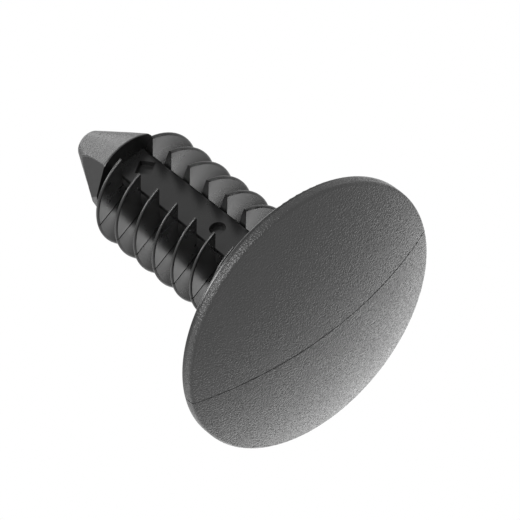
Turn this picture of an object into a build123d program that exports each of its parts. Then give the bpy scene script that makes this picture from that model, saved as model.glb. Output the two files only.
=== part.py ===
"""Push-in dart clip: a one-piece moulded fastener for panels, with a domed round head, a finned shank and a dart tip.

Units are millimetres. The origin is the centre of the head's flat bearing face.
+Z runs up the shank to the tip and the dome bulges to -Z. The two mould halves meet in the plane y = 0
and open along Y, so each side of the part that faces Y has a smooth land and each side that faces X has fins.
"""
import os
from math import atan2, cos, radians, sin, tan

from build123d import *

os.makedirs("parts", exist_ok=True)

# Head: a round plate with a flat bearing face and a shallow dome outside.
head_d = 25.0               # over the rim
rim_h = 0.90                # straight rim wall, from the bearing face to the round at the dome's edge
dome_rise = 2.78            # from the end of the rim wall to the crown
dome_edge_r = 0.35          # round between rim wall and dome
face_edge_r = 0.22          # round between rim wall and bearing face

# Shank: a flat bar whose two lands face along Y.
bar_w = 3.30                # land width, also the gap between the left and the right half of each fin
bar_t = 4.80                # over the two lands
bar_edge_r = 0.20           # round along the bar's four long edges

# Fins: round leaves with a thin rim, cut in two by the lands, that droop from the bar towards the head.
fin_d = 10.60               # over the rims, for a hole of 9.5
fin_count = 8
fin_pitch = 2.41
first_fin_z = 2.98          # middle of the rim that is nearest to the head
fin_rim_t = 0.30            # thickness of the fully rounded rim
fin_droop = 17.0            # degrees between the side that faces the head and a level plane
fin_taper = 12.0            # degrees by which a fin thickens towards the bar
fin_inner_x = 0.80          # a whole fin's section starts this far from the axis, inside the bar

# Dart: a blunt cone on the bar's end, with four slanted flats that leave a narrow ridge along the plane y = 0.
dart_d = 8.42               # round part of the base
dart_gap = 1.70             # from the last fin's rim to the dart's base
dart_lip = 0.12             # straight edge over the base
dart_angle = 27.4           # degrees between the cone and the axis
dart_len = 6.00             # from the base to the end
nose_r = 0.55               # round between the cone and its small flat end
ridge_w = 7.63              # over the two ridges at the base
ridge_lip = 1.18            # the ridges rise straight to this height over the base
ridge_angle = 24.9          # degrees between a ridge and the axis, above that height
flat_draft = 29.3           # degrees by which the flats fall back from the ridge

# Marks in the land that faces -Y: a round one near the head and a square one near the dart.
mark_w = 1.40
mark_depth = 0.50
round_mark_z = 10.03
square_mark_x = 0.30
square_mark_z = 19.75
square_mark_turn = 33.0     # degrees about Y

# Hair-thin grooves on the plane y = 0, over the head and over each fin, where the mould halves met.
seam_w = 0.09
seam_depth = 0.06
fin_seam_w = 0.12
fin_seam_depth = 0.05

# Stub of the gate on the head's rim wall.
gate_turn = 131.0           # degrees from +X
gate_w = 0.45
gate_h = 0.40
gate_proud = 0.18

bar_clear = 0.30            # the bar starts this far inside the head and ends this far inside the dart

head_r = head_d / 2
fin_r = fin_d / 2
dart_r = dart_d / 2
crown_z = -(rim_h + dome_rise)
last_fin_z = first_fin_z + (fin_count - 1) * fin_pitch
dart_z = last_fin_z + dart_gap
dart_end_z = dart_z + dart_len


def turned(face):
    """Solid of revolution of a face drawn with X as the radius and Y as the height."""
    return revolve(Plane.XZ * face, axis=Axis.Z)


def head_solid(skin):
    """The head, with its rim and dome `skin` inside the real ones."""
    outer = head_r - skin
    rise = dome_rise - skin
    # The sphere ends on the crown and touches the edge round, whose centre is at (hub, -rim_h).
    hub = outer - dome_edge_r
    sphere_r = (hub**2 + rise**2 - dome_edge_r**2) / (2 * (rise - dome_edge_r))
    centre_z = sphere_r - rise - rim_h
    lean = atan2(hub, centre_z + rim_h)
    touch = (sphere_r * sin(lean), centre_z - sphere_r * cos(lean))
    dome_mid = (sphere_r * sin(lean / 2), centre_z - sphere_r * cos(lean / 2))
    turn = (lean + radians(90)) / 2
    edge_mid = (hub + dome_edge_r * sin(turn), -rim_h - dome_edge_r * cos(turn))
    top = outer - face_edge_r
    top_mid = (top + face_edge_r * sin(radians(45)), face_edge_r * (cos(radians(45)) - 1))
    outline = [
        Line((0, 0), (top, 0)),
        ThreePointArc((top, 0), top_mid, (outer, -face_edge_r)),
        Line((outer, -face_edge_r), (outer, -rim_h)),
        ThreePointArc((outer, -rim_h), edge_mid, touch),
        ThreePointArc(touch, dome_mid, (0, -rim_h - rise)),
        Line((0, -rim_h - rise), (0, 0)),
    ]
    return turned(make_face(outline))


def fin_ring(rim_z):
    """One whole fin before the lands cut it in two; its rim's middle is at height rim_z."""
    half = fin_rim_t / 2
    droop = radians(fin_droop)
    back = radians(fin_droop + fin_taper)
    hub_x = fin_r - half
    # The rim is an arc that touches both sides, which rise from it towards the axis.
    under = (hub_x - half * sin(droop), rim_z - half * cos(droop))
    over = (hub_x + half * sin(back), rim_z + half * cos(back))
    under_in = (fin_inner_x, under[1] + (under[0] - fin_inner_x) * tan(droop))
    over_in = (fin_inner_x, over[1] + (over[0] - fin_inner_x) * tan(back))
    outline = [
        Line(under_in, under),
        ThreePointArc(under, (fin_r, rim_z), over),
        Line(over, over_in),
        Line(over_in, under_in),
    ]
    return turned(make_face(outline))


def slab(width, depth, low, high):
    """Box centred on the axis, from height low to height high."""
    return Pos(0, 0, (low + high) / 2) * Box(width, depth, high - low)


head = head_solid(0)

# The seam is the part of a thin slab on y = 0 that lies in the head's outermost skin.
seam = slab(2 * head_d, seam_w, 2 * crown_z, -face_edge_r) - head_solid(seam_depth)
head = head - seam

# The gate's stub starts inside the rim wall, in the middle of its height.
gate = Box(2 * gate_proud, gate_w, gate_h)
head = head + Rot(0, 0, gate_turn) * Pos(head_r, 0, -rim_h / 2) * gate

# Shank: the bar, then the fins with the lands' width cut out of them.
bar = slab(bar_w, bar_t, -bar_clear, dart_z + bar_clear)
bar = fillet(bar.edges().filter_by(Axis.Z), bar_edge_r)
fins = [fin_ring(first_fin_z + i * fin_pitch) for i in range(fin_count)]
land_gap = slab(bar_w, 2 * fin_d, 0, dart_z)
fin_seam = slab(2 * fin_d, fin_seam_w, 0, dart_z)
fins = [fin - land_gap - (fin_seam & (fin - Pos(0, 0, fin_seam_depth) * fin)) for fin in fins]

# Dart: a turned cone with a small flat end and a round edge there, cut back by the four flats.
cone_low = dart_z + dart_lip
slope = radians(dart_angle)
round_z = dart_end_z - nose_r
# The round's centre lies nose_r inside the cone, so the two touch.
round_x = dart_r - ((round_z - cone_low) * sin(slope) + nose_r) / cos(slope)
nose_touch = (round_x + nose_r * cos(slope), round_z + nose_r * sin(slope))
nose_mid_angle = (slope + radians(90)) / 2
nose_mid = (round_x + nose_r * cos(nose_mid_angle), round_z + nose_r * sin(nose_mid_angle))
dart = turned(make_face([
    Line((0, dart_z), (dart_r, dart_z)),
    Line((dart_r, dart_z), (dart_r, cone_low)),
    Line((dart_r, cone_low), nose_touch),
    ThreePointArc(nose_touch, nose_mid, (round_x, dart_end_z)),
    Line((round_x, dart_end_z), (0, dart_end_z)),
    Line((0, dart_end_z), (0, dart_z)),
]))
dart = dart & slab(ridge_w, dart_d, dart_z, dart_end_z)
for side in (-1, 1):
    for half in (-1, 1):
        ridge = (side * ridge_w / 2, 0, dart_z + ridge_lip)
        outward = (side, half * tan(radians(flat_draft)), tan(radians(ridge_angle)))
        dart = split(dart, bisect_by=Plane(origin=ridge, z_dir=outward), keep=Keep.BOTTOM)

clip = head + bar + dart
for fin in fins:
    clip = clip + fin

# The two marks, sunk into the land that faces -Y.
land = Plane(origin=(0, -bar_t / 2, 0), x_dir=(1, 0, 0), z_dir=(0, -1, 0))
round_mark = land * Pos(0, round_mark_z, -mark_depth) * Cylinder(
    mark_w / 2, 2 * mark_depth, align=(Align.CENTER, Align.CENTER, Align.MIN)
)
square_mark = land * Pos(square_mark_x, square_mark_z, -mark_depth) * Rot(0, 0, square_mark_turn) * Box(
    mark_w, mark_w, 2 * mark_depth, align=(Align.CENTER, Align.CENTER, Align.MIN)
)
clip = clip - round_mark - square_mark

export_step(clip, "parts/dart_clip.step")
print("length", round(dart_end_z - crown_z, 3), "volume", round(clip.volume, 2), "solids", len(clip.solids()))
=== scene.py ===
# %% [markdown]
# # A black push-in dart clip
#
# The real clip is one piece of black nylon, about 31 mm long, shot in one go between two
# mould halves. It has a domed head, a flat bar with eight pairs of thin round fins, and a
# blunt dart tip. This lesson dresses its CAD model: the shape is already right there, so
# the work is a camera that stands where the photographer's did, a plain studio, and above
# all a black plastic that looks like plastic.
#
# We start by loading the CAD model, and note the box it fills. The CAD frame is kept:
# +Z runs up the shank to the tip, and the mould halves met in the plane y = 0. All
# lengths are in metres, except for the camera's lens, which Blender wants in millimetres.

from math import cos, radians, sin, tan

import bpy
import numpy as np
from mathutils import Matrix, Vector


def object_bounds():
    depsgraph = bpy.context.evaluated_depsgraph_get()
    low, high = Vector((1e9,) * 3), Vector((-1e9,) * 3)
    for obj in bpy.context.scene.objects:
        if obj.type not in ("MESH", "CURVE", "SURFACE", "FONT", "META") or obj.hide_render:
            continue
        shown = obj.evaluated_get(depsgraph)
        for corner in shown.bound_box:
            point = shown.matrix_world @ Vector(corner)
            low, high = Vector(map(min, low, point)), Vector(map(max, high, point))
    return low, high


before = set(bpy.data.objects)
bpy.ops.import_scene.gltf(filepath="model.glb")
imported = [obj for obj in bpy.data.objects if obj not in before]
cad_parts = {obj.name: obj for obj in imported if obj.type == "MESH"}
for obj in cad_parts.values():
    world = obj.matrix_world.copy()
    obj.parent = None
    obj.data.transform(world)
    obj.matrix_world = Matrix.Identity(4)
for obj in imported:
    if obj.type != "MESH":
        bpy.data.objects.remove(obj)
cad_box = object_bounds()
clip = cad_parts["dart_clip"]
print("the clip has", len(clip.data.polygons), "triangles, in a box of", cad_box)

# %% [markdown]
# ## The camera
#
# The photograph looks at the dome from outside and a little below, so that the shank goes
# away from us to the upper left. Its perspective is nearly flat: a fin far away is hardly
# smaller than a near one. That comes from a long lens a long way off. We give the camera
# a point to look at, the direction in which it stands, its distance, and how far it is
# rolled about its own view line.

# %% Place the camera
AIM = np.array((-0.000239, -0.003182, 0.004097))
AZIMUTH = radians(-114.762)
ELEVATION = radians(-36.116)
ROLL = radians(-51.956)
DISTANCE = 0.7291
LENS_MM = 623.08


def camera_axes(azimuth, elevation, roll):
    """Right, up and back of a camera that stands in that direction and is rolled about its view line.

    Back points from the clip to the camera. The level up is the world's up less its part
    along back. The level right is square to both, and the roll turns right and up about back.
    """
    back = np.array((cos(elevation) * cos(azimuth), cos(elevation) * sin(azimuth), sin(elevation)))
    level_up = np.array((0, 0, 1)) - back * back[2]
    level_up /= np.linalg.norm(level_up)
    level_right = np.cross(level_up, back)
    right = cos(roll) * level_right + sin(roll) * level_up
    return right, np.cross(back, right), back


def placed(axes, spot):
    """Matrix that puts an object at a spot, with its own x, y and z along the three axes."""
    whole = np.eye(4)
    whole[:3, :3] = np.stack(axes, axis=1)
    whole[:3, 3] = spot
    return Matrix(whole.tolist())


axes = camera_axes(AZIMUTH, ELEVATION, ROLL)
camera = bpy.data.objects.new("camera", bpy.data.cameras.new("camera"))
bpy.context.collection.objects.link(camera)
camera.matrix_world = placed(axes, AIM + DISTANCE * axes[2])
camera.data.lens = LENS_MM
bpy.context.scene.camera = camera
print("the camera stands at", np.round(camera.matrix_world.translation, 4))

# %% [markdown]
# ## The floor
#
# The clip stands on the crown of its dome, which is the lowest point of the CAD box, so
# the floor lies at that height. Its shape is the plainest there is: a level grid of
# squares.

# %% Lay the floor
FLOOR_Z = cad_box[0][2]
FLOOR_HALF = 0.9
FLOOR_POINTS = 9


def square_grid(half, height, count):
    """Level square: the corners of a count by count grid over plus and minus half, all at the same height."""
    steps = np.linspace(-half, half, count)
    x, y = np.meshgrid(steps, steps, indexing="ij")
    points = np.stack((x, y, np.full_like(x, height)), axis=-1).reshape(-1, 3)
    corner = (np.arange(count - 1)[:, None] * count + np.arange(count - 1)).reshape(-1)
    faces = np.stack((corner, corner + count, corner + count + 1, corner + 1), axis=1)
    return points, faces


floor_mesh = bpy.data.meshes.new("floor")
points, faces = square_grid(FLOOR_HALF, FLOOR_Z, FLOOR_POINTS)
floor_mesh.from_pydata(points.tolist(), [], faces.tolist())
floor = bpy.data.objects.new("floor", floor_mesh)
bpy.context.collection.objects.link(floor)
print("the floor lies at", round(FLOOR_Z * 1000, 2), "mm and is", 2 * FLOOR_HALF, "m wide")

# %% [markdown]
# ## Helpers for nodes
#
# Every material from here on, and the world too, is a small tree of nodes. Most of the
# typing in such a tree is the same: add a node, then link some of its inputs and type a
# value into the others. One helper does that. Each input is given by its name or its
# number, and what is given is either another node's output, which gets a link, or a plain
# value. The other helpers empty a tree and add the two kinds of node that we need most.

# %% Helpers for nodes
def emptied_tree(owner):
    """The node tree of a material or a world, with nothing in it."""
    owner.use_nodes = True
    owner.node_tree.nodes.clear()
    return owner.node_tree


def add_node(tree, kind, inputs=None):
    """New node of that kind, each of its given inputs linked to an output or set to a value."""
    node = tree.nodes.new(kind)
    for slot, value in (inputs or {}).items():
        if isinstance(value, bpy.types.NodeSocket):
            tree.links.new(value, node.inputs[slot])
        else:
            node.inputs[slot].default_value = value
    return node


def math_node(tree, operation, first, second=0):
    """What a Math node makes of its two values; an operation on one value leaves the second alone."""
    node = add_node(tree, "ShaderNodeMath", {0: first, 1: second})
    node.operation = operation
    return node.outputs[0]


def map_range(tree, value, source, target=(0, 1), smooth=False):
    """A value carried from the source's two ends to the target's two ends, and held there past them."""
    ends = {"From Min": source[0], "From Max": source[1], "To Min": target[0], "To Max": target[1]}
    node = add_node(tree, "ShaderNodeMapRange", {"Value": value, **ends})
    if smooth:
        node.interpolation_type = "SMOOTHSTEP"
    return node.outputs["Result"]


print("four helpers for nodes are ready")

# %% [markdown]
# ## Pale paper that shows only from above
#
# The photographer's camera is lower than the crown, so it would see only the underside of
# a floor. Real product shots solve this with a glass table. Here the floor is a pale sheet
# that shows only from above, and only to the camera: its material takes Light Path's Is
# Camera Ray times one minus Geometry's Backfacing. All other rays pass, so that light from
# below reaches the dome.

# %% Colour the floor
PAPER = (0.85, 0.85, 0.85, 1)

paper = bpy.data.materials.new("pale paper, seen from above")
tree = emptied_tree(paper)
ray = add_node(tree, "ShaderNodeLightPath")
side = add_node(tree, "ShaderNodeNewGeometry")
front = math_node(tree, "SUBTRACT", 1, side.outputs["Backfacing"])
shows = math_node(tree, "MULTIPLY", front, ray.outputs["Is Camera Ray"])
see_through = add_node(tree, "ShaderNodeBsdfTransparent")
matte = add_node(tree, "ShaderNodeBsdfDiffuse", {"Color": PAPER})
choose = add_node(tree, "ShaderNodeMixShader", {0: shows, 1: see_through.outputs[0], 2: matte.outputs[0]})
add_node(tree, "ShaderNodeOutputMaterial", {0: choose.outputs[0]})
floor_mesh.materials.append(paper)
print("the floor's material has", len(tree.nodes), "nodes")

# %% [markdown]
# ## The light
#
# A black part shows almost nothing of its own colour. What we see is the room in its
# gloss, so the room is the lighting. Here it is a pale tent: brightest behind the clip,
# a little dimmer on the camera's side, where the tent is open, and with a darker roof
# over the tip. A tent wall is only a world whose strength depends on the direction, so we
# take the dot product of the direction with one axis and map it to a strength. The roof
# is a second factor, which falls as the direction turns up. To camera rays the world is
# plain white: that is the backdrop.

# %% Put up the tent
TENT_AXIS = (0.20, 0.92, 0.05)
TENT_SPAN = (-0.5, 0.7)  # along the axis, from the open side to the wall
TENT_LEVELS = (0.84, 1.07)
ROOF_SPAN = (0.6, 0.9)  # along z, from the walls to the roof
ROOF_LEVEL = 0.35
WHITE = (1, 1, 1, 1)

bpy.context.scene.view_settings.view_transform = "Standard"
world = bpy.data.worlds.new("pale tent")
bpy.context.scene.world = world
tree = emptied_tree(world)
direction = add_node(tree, "ShaderNodeTexCoord").outputs["Generated"]
along = add_node(tree, "ShaderNodeVectorMath", {0: direction, 1: TENT_AXIS})
along.operation = "DOT_PRODUCT"
walls = map_range(tree, along.outputs["Value"], TENT_SPAN, TENT_LEVELS, smooth=True)
upward = add_node(tree, "ShaderNodeSeparateXYZ", {0: direction}).outputs["Z"]
roof = map_range(tree, upward, ROOF_SPAN, (1, ROOF_LEVEL), smooth=True)
strength = math_node(tree, "MULTIPLY", walls, roof)
tent = add_node(tree, "ShaderNodeBackground", {"Color": WHITE, "Strength": strength})
backdrop = add_node(tree, "ShaderNodeBackground", {"Color": WHITE, "Strength": 1})
seen = add_node(tree, "ShaderNodeLightPath").outputs["Is Camera Ray"]
mix = add_node(tree, "ShaderNodeMixShader", {0: seen, 1: tent.outputs[0], 2: backdrop.outputs[0]})
add_node(tree, "ShaderNodeOutputWorld", {0: mix.outputs[0]})
print("the tent's level goes from", TENT_LEVELS[0], "to", TENT_LEVELS[1], "and down to", ROOF_LEVEL, "above")

# %% [markdown]
# ## Five soft lamps
#
# A wide lamp behind the clip gives the dome its slow change from dark to pale. The pale
# lines along the rims of the fins, and the glint on the near edge of the head, come from
# a small lamp low on the camera's side. Two more light the head's rim wall and the side
# of the shank, and the last one hangs over the tip and lights the cone. All are square
# area lamps that face the clip.

# %% Hang the lamps
LAMP_DISTANCE = 0.6


def soft_lamp(name, toward, size, watts):
    """Square area lamp in that direction from the middle of the clip, turned to face it.

    A lamp shines along its own -z, so its z points away from the clip. Its radiance is
    its watts over pi times its area.
    """
    back = np.array(toward, float)
    back /= np.linalg.norm(back)
    side = np.cross((0, 0, 1), back)
    side /= np.linalg.norm(side)
    lamp = bpy.data.objects.new(name, bpy.data.lights.new(name, "AREA"))
    bpy.context.collection.objects.link(lamp)
    lamp.data.size = size
    lamp.data.energy = watts
    lamp.matrix_world = placed((side, np.cross(back, side), back), AIM + LAMP_DISTANCE * back)
    print(name, "shines at", round(watts / (np.pi * size**2), 2), "watts per square metre and steradian")


soft_lamp("backdrop lamp", toward=(0.36, 0.93, -0.02), size=0.58, watts=1.5)
soft_lamp("edge lamp", toward=(-0.42, -0.90, -0.05), size=0.16, watts=1.5)
soft_lamp("wall lamp", toward=(-0.61, -0.53, 0.59), size=0.20, watts=1.8)
soft_lamp("side lamp", toward=(-0.85, 0.30, 0.25), size=0.25, watts=0.5)
soft_lamp("top lamp", toward=(0.14, 0.10, 0.98), size=0.48, watts=1.2)

# %% [markdown]
# ## Where the grain is
#
# The clip has two finishes. The shank came out of a smooth cavity and has an even gloss.
# The dome and the cone, which people see and touch, came out of a cavity that was
# spark-eroded, which printed a fine matt grain on them.
#
# We need a mask that says how much grain a spot has, and we work it out from the Object
# coordinates, which have the size of the real part. It is one step down along z for the
# dome, below the head's bearing face, plus a weaker one up along z for the cone, above
# the dart's base. The dart's four slanted flats are smooth, so the cone's part counts
# only where a spot lies inside their four planes.

# %% Find the grained skin
DOME_STARTS = -0.0003
CONE_STARTS = 0.0216
STEP = 0.0002
CONE_SHARE = 0.5

# The flats start from the ridges on x: half the width over these, the height at which
# they start to lean in, the angle at which they do, and how far the flats fall back.
RIDGE_REACH = 0.003815
RIDGE_Z = 0.02273
RIDGE_ANGLE = radians(24.9)
FLAT_DRAFT = radians(29.3)
FLAT_Y = tan(FLAT_DRAFT)
FLAT_Z = tan(RIDGE_ANGLE)
FLAT_REACH = RIDGE_REACH + FLAT_Z * RIDGE_Z
FLAT_EDGE = 0.00001  # the grain starts this far inside the planes
FLAT_FADE = 0.00003  # and is whole this far inside


def grained_share(tree, spot):
    """Share of grain at a spot: 1 on the dome, CONE_SHARE on the cone, and 0 elsewhere.

    The flats' planes are where |x| + FLAT_Y times |y| + FLAT_Z times z is FLAT_REACH. A
    spot whose sum is smaller than that is inside them, and so on the cone.
    """
    place = add_node(tree, "ShaderNodeSeparateXYZ", {0: spot}).outputs
    on_dome = map_range(tree, place["Z"], (DOME_STARTS, DOME_STARTS - STEP))
    above_base = map_range(tree, place["Z"], (CONE_STARTS, CONE_STARTS + STEP))
    aside = math_node(tree, "ABSOLUTE", place["X"])
    across = math_node(tree, "MULTIPLY", math_node(tree, "ABSOLUTE", place["Y"]), FLAT_Y)
    raised = math_node(tree, "MULTIPLY", place["Z"], FLAT_Z)
    reach = math_node(tree, "ADD", math_node(tree, "ADD", aside, across), raised)
    off_flats = map_range(tree, reach, (FLAT_REACH - FLAT_EDGE, FLAT_REACH - FLAT_FADE))
    on_cone = math_node(tree, "MULTIPLY", above_base, off_flats)
    return math_node(tree, "ADD", on_dome, math_node(tree, "MULTIPLY", on_cone, CONE_SHARE))


print("the flats start", round(FLAT_REACH * 1000, 3), "mm out along x at z = 0")

# %% [markdown]
# ## The moulded grain
#
# The grain is a noise whose bumps are about a seventh of a millimetre apart. It does two
# things: it makes the gloss speckled from spot to spot, and it raises small bumps. The
# grained skin is also a little greyer. Larger and fainter clouds of a second noise make
# the roughness and the tone uneven over the whole clip, as real plastic is.
#
# All of this is one node group. Its inputs are the roughness of the two finishes and the
# number of grains in a metre, and it gives a tone, a roughness and a height.

# %% Build the grain
GRAIN_DETAIL = 1
SPECKLE_NOISE = (0.5, 0.75)
SPECKLE_ROUGHNESS = (0.85, 2.0)  # times the grained roughness
CLOUDS_PER_METRE = 350
CLOUD_DETAIL = 3
CLOUD_NOISE = (0.3, 0.7)
CLOUD_FACTORS = (0.93, 1.07)
SKIN_TONES = (0.008, 0.022)  # smooth skin and grained skin


def noise(tree, spot, scale, detail):
    """Smooth noise from 0 to 1, mostly near a half, with about that many bumps in a metre."""
    inputs = {"Vector": spot, "Scale": scale, "Detail": detail}
    return add_node(tree, "ShaderNodeTexNoise", inputs).outputs["Fac"]


grain = bpy.data.node_groups.new("moulded grain", "ShaderNodeTree")
for name in ("Polished", "Grained", "Grains per Metre"):
    grain.interface.new_socket(name=name, in_out="INPUT", socket_type="NodeSocketFloat")
grain.interface.new_socket(name="Tone", in_out="OUTPUT", socket_type="NodeSocketColor")
for name in ("Roughness", "Height"):
    grain.interface.new_socket(name=name, in_out="OUTPUT", socket_type="NodeSocketFloat")
given = grain.nodes.new("NodeGroupInput").outputs
spot = add_node(grain, "ShaderNodeTexCoord").outputs["Object"]
share = grained_share(grain, spot)
bumps = noise(grain, spot, given["Grains per Metre"], GRAIN_DETAIL)
clouds = noise(grain, spot, CLOUDS_PER_METRE, CLOUD_DETAIL)
speckle = map_range(grain, bumps, SPECKLE_NOISE, SPECKLE_ROUGHNESS)
speckled = math_node(grain, "MULTIPLY", given["Grained"], speckle)
rough = map_range(grain, share, (0, 1), (given["Polished"], speckled))
tone = map_range(grain, share, (0, 1), SKIN_TONES)
uneven = map_range(grain, clouds, CLOUD_NOISE, CLOUD_FACTORS)
add_node(grain, "NodeGroupOutput", {
    "Tone": math_node(grain, "MULTIPLY", tone, uneven),
    "Roughness": math_node(grain, "MULTIPLY", rough, uneven),
    "Height": math_node(grain, "MULTIPLY", bumps, share),
})
print("the grain group has", len(grain.nodes), "nodes")

# %% [markdown]
# ## Black nylon
#
# The nylon itself is one Principled BSDF, with nylon's index of refraction, 1.53. The
# group gives the colour and the roughness, and its height goes through a Bump node to
# the normal. The depth of that relief is under a tenth of a millimetre, because a deeper
# one smears the lamps' highlights: most of the grain is seen as speckled gloss.

# %% Mix the nylon
NYLON_IOR = 1.53
POLISHED = 0.28
GRAINED = 0.32
GRAINS_PER_METRE = 7000
RELIEF = 0.00008

nylon = bpy.data.materials.new("black nylon")
tree = emptied_tree(nylon)
surface = add_node(tree, "ShaderNodeGroup")
surface.node_tree = grain
surface.inputs["Polished"].default_value = POLISHED
surface.inputs["Grained"].default_value = GRAINED
surface.inputs["Grains per Metre"].default_value = GRAINS_PER_METRE
relief = add_node(tree, "ShaderNodeBump", {
    "Strength": 1,
    "Distance": RELIEF,
    "Height": surface.outputs["Height"],
})
skin = add_node(tree, "ShaderNodeBsdfPrincipled", {
    "Base Color": surface.outputs["Tone"],
    "Roughness": surface.outputs["Roughness"],
    "IOR": NYLON_IOR,
    "Normal": relief.outputs["Normal"],
})
add_node(tree, "ShaderNodeOutputMaterial", {0: skin.outputs[0]})
for slot in clip.material_slots:
    slot.material = nylon
print("slots painted:", len(clip.material_slots))
